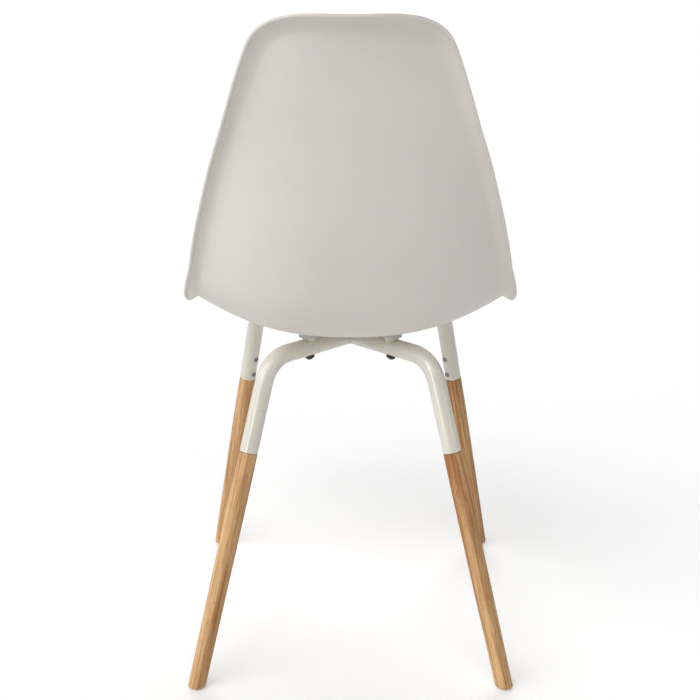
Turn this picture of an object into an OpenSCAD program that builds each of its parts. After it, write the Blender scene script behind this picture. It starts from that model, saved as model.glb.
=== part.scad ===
// Dining chair: moulded bucket shell bolted to a welded cross of bent tubes, with round wooden legs.
// Millimetres. +Z up, the sitter faces -Y, +X is the sitter's left, the floor is z = 0.

/* [Frame] */
// Height of the tubes' centre line above the floor, where they cross
frame_height = 419; // [349:1:503]
// Outside diameter of the bent tubes
tube_od = 23.5; // [19.5:0.1:28.5]
// Wall of the bent tubes
tube_wall = 1.5; // [1.2:0.1:2]
// Radius of the bend on the tube's centre line
bend_radius = 42; // [34:1:56]
// Direction of the arms, from the X axis
arm_turn = 45; // [40:0.5:50]
// From the crossing to the corner of a rear tube, on the centre lines
rear_reach = 146; // [130:1:175]
// From the crossing to the corner of a front tube, on the centre lines
front_reach = 190; // [165:1:228]
// Lean of the rear legs
rear_splay = 18.2; // [12:0.1:21]
// Lean of the front legs
front_splay = 14.3; // [10:0.1:18]
// From the corner down to the open end of a rear tube, along the leg
rear_drop = 123.5; // [108:0.5:148]
// From the corner down to the open end of a front tube, along the leg
front_drop = 118.5; // [108:0.5:148]
// How much thinner the tube is drawn in its bend
bend_draw = 0.1; // [0.04:0.02:0.3]
// Thickness of the weld between the mitred tubes
weld_gap = 1.2; // [0.8:0.1:2]
// How far the weld stands proud of the tubes
weld_proud = 0.4; // [0.2:0.1:0.8]

/* [Wooden legs] */
// How much wider than the tube a leg is just below it, on diameter
leg_step = 0.2; // [0:0.1:1]
// How much wider than the tube a leg is at its widest, on diameter
leg_swell = 0.8; // [0.2:0.1:2]
// From the tube down to the widest place
leg_belly_at = 60; // [40:1:90]
// How much narrower than the tube a leg is at the foot, on diameter
foot_taper = 1.1; // [0:0.1:4]
// Chamfer round the foot
foot_chamfer = 1.8; // [0.5:0.1:3]
// Length of the spigot inside the tube
spigot_length = 56; // [46:1:70]
// Clearance on diameter between the spigot and the tube
spigot_clearance = 0.3; // [0.1:0.05:0.6]
// Height of the floor glides
glide_height = 2.5; // [1.5:0.1:5]
// From the foot's chamfer in to the edge of the glide
glide_inset = 1.4; // [0.5:0.1:3]

/* [Leg screws] */
// From the end of the tube up to the lower screw
screw_first = 10; // [7:0.5:14]
// Between the two screws
screw_pitch = 26; // [18:0.5:32]
// Thread diameter
screw_d = 3.6; // [3:0.1:5]
// How far the head reaches past the thread
screw_rim = 2; // [1.2:0.1:3]
// Height of the domed head
screw_head_h = 2.4; // [1.8:0.1:4]
// Length under the head
screw_length = 15; // [12:0.5:20]

/* [Shell fixing] */
// From the crossing to the rear bolts
rear_bolt_at = 76.5; // [60:0.5:92]
// From the crossing to the front bolts
front_bolt_at = 100; // [80:0.5:118]
// Bolt diameter
bolt_d = 6; // [5:0.1:7.5]
// Clearance on diameter round the bolts
bolt_clearance = 0.6; // [0.3:0.1:1.2]
// Height of a saddle pad above the crown of its tube
pad_rise = 4.5; // [3.5:0.1:5.5]
// How far a saddle pad reaches down beside the crown
pad_wrap = 3; // [1.5:0.1:5]
// How far a saddle pad reaches past the boss above it
pad_ledge = 1.5; // [0.5:0.1:3]
// Wall of a saddle pad round the bolt, at the tube
pad_wall = 5.5; // [4:0.1:7]
// How far the washer under the tube reaches past the bolt
washer_rim = 4; // [3.2:0.1:5]
// Thickness of the washer below the tube
washer_h = 2; // [1.5:0.1:3]
// How far the bolt's head reaches past the bolt
head_rim = 2.25; // [1.5:0.05:3]
// Height of the bolt head
head_h = 3.6; // [3:0.1:5]
// Wall of the threaded inserts
insert_wall = 2; // [1.5:0.1:3]
// Height of the threaded inserts
insert_h = 5; // [4:0.1:5.5]
// Wall of the moulded bosses round the inserts
boss_wall = 7.5; // [5:0.1:10]

/* [Seat shell] */
// Wall of the shell
shell_wall = 3.8; // [3.2:0.1:5]
// Clearance between the tubes' crown and the lowest point of the shell
seat_clearance = 3.2; // [2.5:0.1:4.5]
// The shell's lowest point, behind the crossing
seat_low_y = 20; // [0:1:35]
// Dished part of the seat, from the lowest point forward
fore_dish = 110; // [90:1:140]
// Flat part of the seat in front of the dish
fore_flat = 75; // [50:1:100]
// Rounded front of the seat
fore_lip = 95; // [70:1:120]
// Slope of the seat at the end of the dish
fore_slope = 5; // [2:0.5:8]
// Fall of the rounded front
fore_fall = 38; // [25:1:50]
// Part of the seat behind the lowest point
aft_seat = 80; // [60:1:100]
// Bend between the seat and the back
aft_bend = 107; // [88:1:130]
// Lower part of the back
aft_waist = 110; // [90:1:140]
// Upper part of the back
aft_back = 211; // [170:1:255]
// Slope of the shell where the bend starts, where it ends, at the waist and at the top
aft_slopes = [17, 68, 80, 76]; // [10:1:85]
// Half width inside the rim where the shell is widest
half_width = 196.2; // [175:0.1:220]
// Half width inside the rim at the front, before the corners are rounded
half_front = 174; // [150:1:195]
// Half width inside the rim at the top, before the corners are rounded
half_top = 77; // [65:0.5:95]
// The widest place, in front of the lowest point
widest_at = 58; // [40:1:110]
// How slowly the back starts to narrow
taper_power = 2.4; // [2:0.05:3]
// Rise of the sides above the middle at the front of the seat
rise_front = 5; // [2:1:12]
// Rise of the sides at the waist of the back
rise_waist = 59; // [45:1:72]
// Rise of the sides at the top of the back
rise_top = 12.5; // [8:0.5:22]
// Where the sides rise most, behind the lowest point
waist_at = 160; // [120:1:190]
// How late the sides turn up
dish_power = 2.45; // [2:0.05:3]
// Rounding of the top corners, across and along
top_corner = [54.4, 26]; // [22:0.1:65]
// Rounding of the front corners, across and along
front_corner = [85, 70]; // [50:1:90]
// How full the rounded corners are
corner_power = 2.4; // [2:0.1:3]

/* [Rim] */
// Inside radius of the turned-out rim: sides, top and front
rim_radius = [12, 22, 14]; // [9:1:26]
// Turn of the rim: sides, top and front
rim_turn = [52, 48, 30]; // [20:1:60]
// Where the rim's shape changes: length below the top and length behind the front
rim_blend = [135, 90]; // [60:1:180]
// Flat of the rim between its two turns
rim_flat = 3; // [1:0.5:6]
// Radius of the rim's edge turn
edge_radius = 4; // [2:0.5:6]
// Turn of the rim's edge
edge_turn = 45; // [20:1:60]

/* [Hidden] */
$fn = 48;

tube_id = tube_od - 2 * tube_wall;
leg_top_d = tube_od + leg_step;
leg_belly_d = tube_od + leg_swell;
foot_d = tube_od - foot_taper;
glide_d = foot_d - 2 * foot_chamfer - 2 * glide_inset;
screw_head_d = screw_d + 2 * screw_rim;
bolt_hole_d = bolt_d + bolt_clearance;
washer_d = bolt_d + 2 * washer_rim;
head_d = bolt_d + 2 * head_rim;
insert_d = bolt_d + 2 * insert_wall;
boss_d = insert_d + 2 * boss_wall;
pad_top_d = boss_d + 2 * pad_ledge;
pad_foot_d = bolt_d + 2 * pad_wall;
tube_top = frame_height + tube_od / 2;
tube_under = frame_height - tube_od / 2;
pad_top = tube_top + pad_rise;
washer_under = tube_under - washer_h;
seat_low = tube_top + seat_clearance;
// How far a cutting shape reaches past what it cuts
spare = 1;
// More than the chair's largest size from the middle
long = 500;
// How far the stretches of a tube run into each other
lap = 0.05;

// Small finishing sizes
pin_d = 4;
pin_length = 12;
glide_chamfer = 0.8;
spigot_chamfer = 1;
shoulder_chamfer = 0.5;
pilot_clearance = 0.2;
thread_clearance = 0.05;
head_sink = 1;
slot_width = 0.9;
pad_flange = 1.7;
pad_flange_chamfer = 0.5;
pad_swell = 1;
washer_wrap = 2.2;
groove_depth = 0.7;
bolt_chamfer = 0.6;
bolt_short = 0.5;
socket_d = 0.72 * bolt_d;
socket_depth = 2;
// Outline of the domed heads, each point as a share of the head's radius and of its height
screw_dome = [[1, 0.08], [0.92, 0.45], [0.68, 0.8], [0.34, 1]];
bolt_dome = [[1, 0.35], [0.88, 0.7], [0.64, 0.94], [0.4, 1]];

fore_length = fore_dish + fore_flat + fore_lip;
aft_length = aft_seat + aft_bend + aft_waist + aft_back;
fore_run = [[fore_dish, fore_slope], [fore_flat, 0], [fore_lip, -fore_fall]];
aft_run = [
  [aft_seat, aft_slopes[0]],
  [aft_bend, aft_slopes[1] - aft_slopes[0]],
  [aft_waist, aft_slopes[2] - aft_slopes[1]],
  [aft_back, aft_slopes[3] - aft_slopes[2]]
];

// Steps of the shell's mesh: rows in a corner, rows between corners, columns, turns of the rim
corner_rows = 5;
side_rows = 20;
columns = 16;
rim_steps = 3;
edge_steps = 2;
lip_steps = 3;

function blend(t) = (1 - cos(180 * min(max(t, 0), 1))) / 2;
function unit(v) = v / norm(v);
function reach(rear) = rear ? rear_reach : front_reach;
function splay(rear) = rear ? rear_splay : front_splay;
function drop(rear) = rear ? rear_drop : front_drop;
function bolt_at(rear) = rear ? rear_bolt_at : front_bolt_at;
// From the crossing out to the middle of a foot, at its lower end
function foot_x(rear) = reach(rear) + (frame_height - glide_height) * tan(splay(rear));
// From the corner of the centre lines to where the bend starts
function bend_start(rear) = bend_radius * tan((90 - splay(rear)) / 2);

// Along, up and slope after a length of a run of arcs, each given as length and turn
function walk(q, run, i = 0, a = 0, u = 0, h = 0) =
  q <= 0 || i >= len(run) ? [a, u, h] :
  let (s = min(q, run[i][0]), turn = run[i][1] * s / run[i][0])
  turn == 0
    ? walk(q - s, run, i + 1, a + s * cos(h), u + s * sin(h), h)
    : let (r = run[i][0] / run[i][1] * 180 / PI)
      walk(q - s, run, i + 1, a + r * (sin(h + turn) - sin(h)), u + r * (cos(h) - cos(h + turn)), h + turn);

// Middle line of the shell's underside: y, z and slope at a length behind the lowest point
function spine(q) =
  let (w = walk(abs(q), q < 0 ? fore_run : aft_run), way = q < 0 ? -1 : 1)
  [seat_low_y + way * w[0], seat_low + w[1], way * w[2]];

function rise(q) =
  q < waist_at
    ? rise_front + (rise_waist - rise_front) * blend((q + fore_length) / (waist_at + fore_length))
    : rise_waist + (rise_top - rise_waist) * blend((q - waist_at) / (aft_length - waist_at));

function plain_width(q) =
  q > -widest_at
    ? half_width - (half_width - half_top) * pow((q + widest_at) / (aft_length + widest_at), taper_power)
    : half_width - (half_width - half_front) * pow((-q - widest_at) / (fore_length - widest_at), 2);

// What a rounded corner takes off the half width, at a share of the corner's length
function corner_cut(size, u) =
  u <= 0 ? 0 : size * (1 - pow(max(0, 1 - pow(min(u, 1), corner_power)), 1 / corner_power));

function width(q) =
  plain_width(q)
  - corner_cut(top_corner[0], (q - aft_length + top_corner[1]) / top_corner[1])
  - corner_cut(front_corner[0], (front_corner[1] - fore_length - q) / front_corner[1]);

// A point of the shell's underside, at x across and q along
function skin(x, q) =
  let (c = spine(q), b = rise(q) * pow(abs(x) / plain_width(q), dish_power))
  [x, c[0] - sin(c[2]) * b, c[1] + cos(c[2]) * b];

// The direction out of the underside, into the wall
function inward(x, q) =
  let (q1 = min(q + 0.5, aft_length), q0 = max(q - 0.5, -fore_length))
  unit(cross(skin(x + 0.5, q) - skin(x - 0.5, q), skin(x, q1) - skin(x, q0)));

row_list = concat(
  [for (i = [0:corner_rows - 1]) -fore_length + front_corner[1] * (1 - sin(90 * (1 - i / corner_rows)))],
  [for (i = [0:side_rows])
    front_corner[1] - fore_length
    + (aft_length - top_corner[1] + fore_length - front_corner[1]) * i / side_rows],
  [for (i = [1:corner_rows]) aft_length - top_corner[1] + top_corner[1] * sin(90 * i / corner_rows)]
);
column_list = [for (i = [0:columns]) let (t = 2 * i / columns - 1) t * (1.25 - 0.25 * t * t)];
rows = len(row_list);
across = columns + 1;
under_skin = [for (q = row_list) for (t = column_list) skin(t * width(q), q)];
wall_ways = [for (q = row_list) for (t = column_list) inward(t * width(q), q)];
upper_skin = [for (i = [0:len(under_skin) - 1]) under_skin[i] + shell_wall * wall_ways[i]];

// The edge of the skins, round from the front of the left side
edge = concat(
  [for (j = [0:rows - 1]) j * across + columns],
  [for (i = [columns - 1:-1:0]) (rows - 1) * across + i],
  [for (j = [rows - 2:-1:0]) j * across],
  [for (i = [1:columns - 1]) i]
);
round = len(edge);

function edge_row(k) = floor(edge[k] / across);
function share(k, list) =
  let (
    q = row_list[edge_row(k)],
    top = blend((q - aft_length + rim_blend[0]) / rim_blend[0]),
    front = blend((rim_blend[1] - fore_length - q) / rim_blend[1])
  )
  list[0] + (list[1] - list[0]) * top + (list[2] - list[0]) * front;

// The section of the rim at one place of the edge, from the underside round to the upper side
function rim_section(k) =
  let (
    p = under_skin[edge[k]],
    n = wall_ways[edge[k]],
    along = under_skin[edge[(k + 1) % round]] - under_skin[edge[(k + round - 1) % round]],
    out = unit(cross(along, n)),
    r = share(k, rim_radius),
    turn = share(k, rim_turn),
    last = turn + edge_turn,
    c1 = p - r * n,
    c2 = c1 + (r - edge_radius) * (n * cos(turn) + out * sin(turn))
      + rim_flat * (out * cos(turn) - n * sin(turn)),
    n3 = n * cos(last) + out * sin(last),
    t3 = out * cos(last) - n * sin(last),
    lip = c2 + (edge_radius + shell_wall / 2) * n3
  )
  concat(
    [for (i = [1:rim_steps]) let (a = turn * i / rim_steps) c1 + r * (n * cos(a) + out * sin(a))],
    [for (i = [0:edge_steps])
      let (a = turn + edge_turn * i / edge_steps) c2 + edge_radius * (n * cos(a) + out * sin(a))],
    [for (i = [1:lip_steps - 1])
      let (a = 180 * i / lip_steps - 90) lip + shell_wall / 2 * (n3 * sin(a) + t3 * cos(a))],
    [for (i = [edge_steps:-1:0])
      let (a = turn + edge_turn * i / edge_steps)
      c2 + (edge_radius + shell_wall) * (n * cos(a) + out * sin(a))],
    [for (i = [rim_steps:-1:1])
      let (a = turn * i / rim_steps) c1 + (r + shell_wall) * (n * cos(a) + out * sin(a))]
  );

rim = [for (k = [0:round - 1]) rim_section(k)];
rings = len(rim[0]);
shell_points = concat(under_skin, upper_skin, [for (k = [0:round - 1]) for (m = [0:rings - 1]) rim[k][m]]);
skin_size = rows * across;

// A point of the mesh on the edge's place k: m = 0 is the underside, m = rings + 1 the upper side
function rim_index(k, m) =
  m == 0 ? edge[k % round] :
  m == rings + 1 ? skin_size + edge[k % round] :
  2 * skin_size + (k % round) * rings + m - 1;

shell_faces = concat(
  [for (j = [0:rows - 2]) for (i = [0:columns - 1]) for (h = [0, 1])
    let (a = j * across + i) h == 0 ? [a, a + 1, a + across + 1] : [a, a + across + 1, a + across]],
  [for (j = [0:rows - 2]) for (i = [0:columns - 1]) for (h = [0, 1])
    let (a = skin_size + j * across + i)
    h == 0 ? [a, a + across + 1, a + 1] : [a, a + across, a + across + 1]],
  [for (k = [0:round - 1]) for (m = [0:rings]) for (h = [0, 1])
    let (a = rim_index(k, m), b = rim_index(k + 1, m), c = rim_index(k + 1, m + 1), d = rim_index(k, m + 1))
    h == 0 ? [a, c, b] : [a, d, c]]
);

// The chair is centred on its own bounding box
rim_y = [for (k = [0:round - 1]) for (m = [0:rings - 1]) rim[k][m][1]];
shift_y = -(min(rim_y) + max(rim_y)) / 2;

// Puts a piece made in the arm's own frame (x out along the arm) at one of the four corners
module corner(left, rear) {
  translate([0, shift_y, 0])
    mirror([left ? 0 : 1, 0, 0])
      mirror([0, rear ? 0 : 1, 0])
        rotate([0, 0, arm_turn])
          children();
}

// In the arm's frame: origin on the corner of the centre lines, -z down the leg
module down_leg(rear) {
  translate([reach(rear), 0, frame_height])
    rotate([0, -splay(rear), 0])
      children();
}

// A rod that follows the tube's centre line: the arm, the bend and the stretch down to the open end
module tube_core(rear, d, past_end) {
  arm = reach(rear) - bend_start(rear) + tube_od;
  turn = 90 - splay(rear);
  translate([arm - tube_od, 0, frame_height - bend_radius]) {
    translate([-arm, 0, bend_radius])
      rotate([90, 0, 90])
        cylinder(d = d, h = arm + lap);
    rotate([0, -90, -90])
      rotate_extrude(angle = turn)
        translate([bend_radius, 0])
          circle(d = d - bend_draw);
    rotate([0, turn, 0])
      translate([-lap, 0, bend_radius])
        rotate([0, 90, 0])
          cylinder(d = d, h = lap + drop(rear) + past_end - bend_start(rear));
  }
}

// In the leg's frame: on its axis at both screws, +z towards their heads
module screw_places(rear) {
  for (z = [screw_first, screw_first + screw_pitch])
    translate([0, 0, z - drop(rear)])
      rotate([0, -90, 0])
        children();
}

module tube(left, rear) {
  mitre_x = left ? weld_gap / 2 : -weld_gap / 2 - long;
  mitre_y = rear ? weld_gap / 2 : -weld_gap / 2 - long;
  color("#e9e6dc")
    intersection() {
      corner(left, rear)
        difference() {
          tube_core(rear, tube_od, 0);
          tube_core(rear, tube_id, spare);
          translate([bolt_at(rear), 0, tube_under - spare])
            cylinder(d = bolt_hole_d, h = tube_od + 2 * spare);
          down_leg(rear)
            screw_places(rear)
              cylinder(d = screw_d + pilot_clearance, h = tube_od);
        }
      translate([mitre_x, mitre_y + shift_y, 0])
        cube(long);
    }
}

module centre_weld() {
  color("#e9e6dc")
    translate([0, shift_y, frame_height])
      intersection() {
        union() {
          for (a = [arm_turn, -arm_turn])
            rotate([0, 0, a])
              rotate([0, 90, 0])
                cylinder(d = tube_od + 2 * weld_proud, h = 3 * tube_od, center = true);
        }
        union() {
          cube([weld_gap, 2 * tube_od, 2 * tube_od], center = true);
          cube([2 * tube_od, weld_gap, 2 * tube_od], center = true);
        }
      }
}

module leg(left, rear) {
  shank = frame_height / cos(splay(rear));
  spigot_d = tube_id - spigot_clearance;
  joint = -drop(rear);
  color("#c89a62")
    corner(left, rear)
      difference() {
        intersection() {
          down_leg(rear)
            rotate_extrude()
              polygon([
                [0, joint + spigot_length],
                [spigot_d / 2 - spigot_chamfer, joint + spigot_length],
                [spigot_d / 2, joint + spigot_length - spigot_chamfer],
                [spigot_d / 2, joint],
                [leg_top_d / 2 - shoulder_chamfer, joint],
                [leg_top_d / 2, joint - shoulder_chamfer],
                [leg_belly_d / 2, joint - leg_belly_at],
                [foot_d / 2, -shank],
                [foot_d / 2, -shank - foot_d],
                [0, -shank - foot_d]
              ]);
          translate([foot_x(rear), 0, glide_height])
            rotate_extrude()
              polygon([
                [0, 0],
                [foot_d / 2 - foot_chamfer, 0],
                [foot_d / 2 - foot_chamfer + long, long],
                [0, long]
              ]);
        }
        down_leg(rear)
          screw_places(rear)
            translate([0, 0, tube_od / 2 - screw_length])
              cylinder(d = screw_d, h = screw_length);
        translate([foot_x(rear), 0, 0])
          glide_pin();
      }
}

module glide_pin() {
  translate([0, 0, glide_height])
    cylinder(d = pin_d, h = pin_length);
}

module glide(left, rear) {
  color("#8f8a82")
    corner(left, rear)
      translate([foot_x(rear), 0, 0]) {
        cylinder(d1 = glide_d - 2 * glide_chamfer, d2 = glide_d, h = glide_chamfer);
        translate([0, 0, glide_chamfer])
          cylinder(d = glide_d, h = glide_height - glide_chamfer);
        glide_pin();
      }
}

module leg_screws(left, rear) {
  color("#a9a9a6")
    corner(left, rear)
      down_leg(rear)
        screw_places(rear) {
          translate([0, 0, tube_od / 2 - screw_length])
            cylinder(d = screw_d, h = screw_length);
          difference() {
            translate([0, 0, tube_od / 2])
              rotate_extrude()
                polygon(concat(
                  [[0, -head_sink], [screw_head_d / 2, -head_sink]],
                  dome(screw_dome, screw_head_d / 2, screw_head_h),
                  [[0, screw_head_h]]
                ));
            translate([0, 0, tube_od / 2 + screw_head_h / 2])
              cross_slot();
            rotate([0, 90, 0])
              cylinder(d = tube_od, h = 2 * tube_od, center = true);
          }
        }
}

function dome(shares, r, h) = [for (p = shares) [r * p[0], h * p[1]]];

module cross_slot() {
  for (a = [0, 90])
    rotate([0, 0, a])
      translate([-screw_head_d / 4, -slot_width / 2, 0])
        cube([screw_head_d / 2, slot_width, screw_head_h]);
}

module saddle_pad(left, rear) {
  color("#dedad2")
    corner(left, rear)
      translate([bolt_at(rear), 0, 0])
        difference() {
          rotate_extrude()
            polygon([
              [bolt_hole_d / 2, tube_top - pad_wrap],
              [pad_foot_d / 2, tube_top - pad_wrap],
              [pad_foot_d / 2 + pad_swell, tube_top],
              [pad_top_d / 2 - pad_flange_chamfer, pad_top - pad_flange - pad_flange_chamfer],
              [pad_top_d / 2, pad_top - pad_flange],
              [pad_top_d / 2, pad_top],
              [bolt_hole_d / 2, pad_top]
            ]);
          translate([0, 0, frame_height])
            rotate([0, 90, 0])
              cylinder(d = tube_od, h = 2 * pad_top_d, center = true);
        }
}

module threaded_insert(left, rear) {
  color("#b59a5a")
    corner(left, rear)
      translate([bolt_at(rear), 0, pad_top])
        rotate_extrude()
          polygon([
            [bolt_d / 2 + thread_clearance, 0],
            [insert_d / 2, 0],
            [insert_d / 2, insert_h / 3],
            [insert_d / 2 - groove_depth, insert_h / 3],
            [insert_d / 2 - groove_depth, insert_h * 2 / 3],
            [insert_d / 2, insert_h * 2 / 3],
            [insert_d / 2, insert_h],
            [bolt_d / 2 + thread_clearance, insert_h]
          ]);
}

module bolt_washer(left, rear) {
  color("#1d1d1d")
    corner(left, rear)
      translate([bolt_at(rear), 0, 0])
        difference() {
          translate([0, 0, washer_under])
            cylinder(d = washer_d, h = washer_h + washer_wrap);
          translate([0, 0, washer_under - spare])
            cylinder(d = bolt_hole_d, h = tube_od);
          translate([0, 0, frame_height])
            rotate([0, 90, 0])
              cylinder(d = tube_od, h = 2 * washer_d, center = true);
        }
}

module seat_bolt(left, rear) {
  tip = pad_top + insert_h - bolt_short - washer_under;
  color("#6f7072")
    corner(left, rear)
      translate([bolt_at(rear), 0, washer_under])
        difference() {
          rotate_extrude()
            polygon(concat(
              [
                [0, tip],
                [bolt_d / 2 - bolt_chamfer, tip],
                [bolt_d / 2, tip - bolt_chamfer],
                [bolt_d / 2, 0],
                [head_d / 2, 0]
              ],
              dome(bolt_dome, head_d / 2, -head_h),
              [[0, -head_h]]
            ));
          translate([0, 0, -head_h - spare])
            cylinder(d = socket_d, h = socket_depth + spare, $fn = 6);
        }
}

// The shell and the bosses on its underside that take the threaded inserts
module seat_shell() {
  color("#dedad2")
    difference() {
      union() {
        translate([0, shift_y, 0])
          polyhedron(points = shell_points, faces = shell_faces, convexity = 8);
        for (left = [true, false])
          for (rear = [true, false])
            corner(left, rear)
              translate([bolt_at(rear), 0, pad_top])
                cylinder(d = boss_d, h = boss_height(rear));
      }
      for (left = [true, false])
        for (rear = [true, false])
          corner(left, rear)
            translate([bolt_at(rear), 0, pad_top - spare])
              cylinder(d = insert_d, h = insert_h + spare);
    }
}

// From the pad up to the middle of the shell's wall, above the bolt
function boss_height(rear) =
  let (
    x = bolt_at(rear) * cos(arm_turn),
    y = bolt_at(rear) * sin(arm_turn) * (rear ? 1 : -1)
  )
  skin(x, y - seat_low_y)[2] + shell_wall / 2 - pad_top;

seat_shell();
threaded_insert(true, true);  // threaded_insert_rear_left
threaded_insert(false, true);  // threaded_insert_rear_right
threaded_insert(true, false);  // threaded_insert_front_left
threaded_insert(false, false);  // threaded_insert_front_right
saddle_pad(true, true);  // saddle_pad_rear_left
saddle_pad(false, true);  // saddle_pad_rear_right
saddle_pad(true, false);  // saddle_pad_front_left
saddle_pad(false, false);  // saddle_pad_front_right
tube(true, true);  // tube_rear_left
tube(false, true);  // tube_rear_right
tube(true, false);  // tube_front_left
tube(false, false);  // tube_front_right
centre_weld();
bolt_washer(true, true);  // bolt_washer_rear_left
bolt_washer(false, true);  // bolt_washer_rear_right
bolt_washer(true, false);  // bolt_washer_front_left
bolt_washer(false, false);  // bolt_washer_front_right
seat_bolt(true, true);  // seat_bolt_rear_left
seat_bolt(false, true);  // seat_bolt_rear_right
seat_bolt(true, false);  // seat_bolt_front_left
seat_bolt(false, false);  // seat_bolt_front_right
leg(true, true);  // leg_rear_left
leg(false, true);  // leg_rear_right
leg(true, false);  // leg_front_left
leg(false, false);  // leg_front_right
leg_screws(true, true);  // leg_screws_rear_left
leg_screws(false, true);  // leg_screws_rear_right
leg_screws(true, false);  // leg_screws_front_left
leg_screws(false, false);  // leg_screws_front_right
glide(true, true);  // glide_rear_left
glide(false, true);  // glide_rear_right
glide(true, false);  // glide_front_left
glide(false, false);  // glide_front_right
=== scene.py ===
"""Dining chair: a moulded shell on a welded cross of bent tubes, with round wooden legs.

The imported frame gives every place. The pieces made here stand for its nodes and finish them.
"""

import math
from bisect import bisect_left

import bmesh
import bpy
from bpy.props import FloatProperty, FloatVectorProperty, IntProperty, PointerProperty
from mathutils import Euler, Matrix, Vector


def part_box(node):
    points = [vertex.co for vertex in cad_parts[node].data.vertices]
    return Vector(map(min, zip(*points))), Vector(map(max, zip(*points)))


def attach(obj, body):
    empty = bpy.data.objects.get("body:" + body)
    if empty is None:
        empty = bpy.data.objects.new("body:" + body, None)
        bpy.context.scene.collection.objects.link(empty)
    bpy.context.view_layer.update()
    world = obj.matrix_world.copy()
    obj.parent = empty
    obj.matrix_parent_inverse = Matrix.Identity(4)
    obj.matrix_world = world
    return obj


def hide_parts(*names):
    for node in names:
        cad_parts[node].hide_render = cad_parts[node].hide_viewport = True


bl_info = {
    "name": "Dining Chair",
    "version": (1, 0, 0),
    "blender": (4, 5, 0),
    "location": "View3D > Sidebar > Chair",
    "description": "Builds a shell chair with a bent tube frame and wooden legs",
    "category": "Add Mesh",
}

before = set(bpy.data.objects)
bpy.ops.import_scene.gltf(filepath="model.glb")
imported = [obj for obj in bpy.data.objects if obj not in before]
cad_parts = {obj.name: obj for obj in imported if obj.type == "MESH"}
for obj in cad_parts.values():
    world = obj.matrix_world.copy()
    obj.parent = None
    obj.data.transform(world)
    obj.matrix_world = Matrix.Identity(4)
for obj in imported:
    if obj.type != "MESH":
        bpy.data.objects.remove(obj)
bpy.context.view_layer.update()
BODY = "root"

# The four corners of the frame: side (1 is the sitter's left) and end (1 is the rear)
CORNERS = {
    "rear_left": (1, 1),
    "rear_right": (-1, 1),
    "front_left": (1, -1),
    "front_right": (-1, -1),
}


# ---------------------------------------------------------------- sizes and finishes


def length(name, description, default):
    """A property for a length in metres."""
    return FloatProperty(name=name, description=description, default=default, unit="LENGTH", precision=4)


def lengths(name, description, default):
    """A property for a few lengths in metres."""
    return FloatVectorProperty(
        name=name, description=description, default=default, size=len(default), unit="LENGTH", precision=4
    )


def angle(name, description, default):
    """A property for an angle. The default is in degrees."""
    return FloatProperty(
        name=name, description=description, default=math.radians(default), subtype="ANGLE"
    )


def angles(name, description, default):
    """A property for a few angles. The defaults are in degrees."""
    return FloatVectorProperty(
        name=name,
        description=description,
        default=[math.radians(a) for a in default],
        size=len(default),
        unit="ROTATION",
    )


def number(name, description, default):
    """A property for a plain number."""
    return FloatProperty(name=name, description=description, default=default)


def count(name, description, default):
    """A property for a number of steps."""
    return IntProperty(name=name, description=description, default=default, min=1)


def colour(name, description, default):
    """A property for a colour, as linear red, green and blue."""
    return FloatVectorProperty(
        name=name, description=description, default=default, size=3, subtype="COLOR", min=0, max=1
    )


class ShellSizes(bpy.types.PropertyGroup):
    """The moulded shell. The middle line runs from its lowest point forward and backward in arcs."""

    wall: length("Wall", "Thickness of the shell", 0.0038)
    clearance: length("Clearance", "From the tubes' crown up to the shell's lowest point", 0.0032)
    low_y: length("Lowest point", "Of the shell, behind the crossing of the tubes", 0.020)
    fore_arcs: lengths("Fore arcs", "Dish, flat and rounded front of the seat", (0.110, 0.075, 0.095))
    fore_turns: angles("Fore turns", "Turn of each fore arc, up being positive", (5, 0, -38))
    aft_arcs: lengths("Aft arcs", "Rear seat, bend, waist and upper back", (0.080, 0.107, 0.110, 0.211))
    aft_turns: angles("Aft turns", "Turn of each aft arc", (17, 51, 12, -4))
    half_width: length("Half width", "Inside the rim, where the shell is widest", 0.1962)
    half_front: length("Half front", "Inside the rim at the front, before its corners", 0.174)
    half_top: length("Half top", "Inside the rim at the top, before its corners", 0.077)
    widest_at: length("Widest at", "In front of the lowest point", 0.058)
    taper_power: number("Taper power", "How slowly the back starts to narrow", 2.4)
    rise_front: length("Front rise", "Of the sides above the middle at the front", 0.005)
    rise_waist: length("Waist rise", "Of the sides above the middle at the waist", 0.059)
    rise_top: length("Top rise", "Of the sides above the middle at the top", 0.0125)
    waist_at: length("Waist at", "Behind the lowest point", 0.160)
    dish_power: number("Dish power", "How late the sides turn up", 2.45)
    top_corner: lengths("Top corner", "Rounding across and along", (0.0544, 0.026))
    front_corner: lengths("Front corner", "Rounding across and along", (0.085, 0.070))
    corner_power: number("Corner power", "How full the rounded corners are", 2.4)
    rim_radius: lengths("Rim radius", "Inside radius at the sides, top and front", (0.012, 0.022, 0.014))
    rim_turn: angles("Rim turn", "Turn at the sides, top and front", (52, 48, 30))
    rim_blend: lengths("Rim blend", "Over which the rim changes near the top and the front", (0.135, 0.090))
    rim_flat: length("Rim flat", "Between the rim's two turns", 0.003)
    edge_radius: length("Edge radius", "Of the rim's edge turn", 0.004)
    edge_turn: angle("Edge turn", "Of the rim's edge", 45)
    boss_d: length("Boss diameter", "Of the moulded bosses over the bolts", 0.025)
    corner_rows: count("Corner rows", "Rows of faces in a rounded corner", 22)
    side_rows: count("Side rows", "Rows of faces between the corners", 96)
    columns: count("Columns", "Faces across the shell", 56)
    rim_steps: count("Rim steps", "Faces round the rim's turn", 8)
    edge_steps: count("Edge steps", "Faces round the rim's edge turn", 5)
    lip_steps: count("Lip steps", "Faces round the lip", 8)


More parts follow.
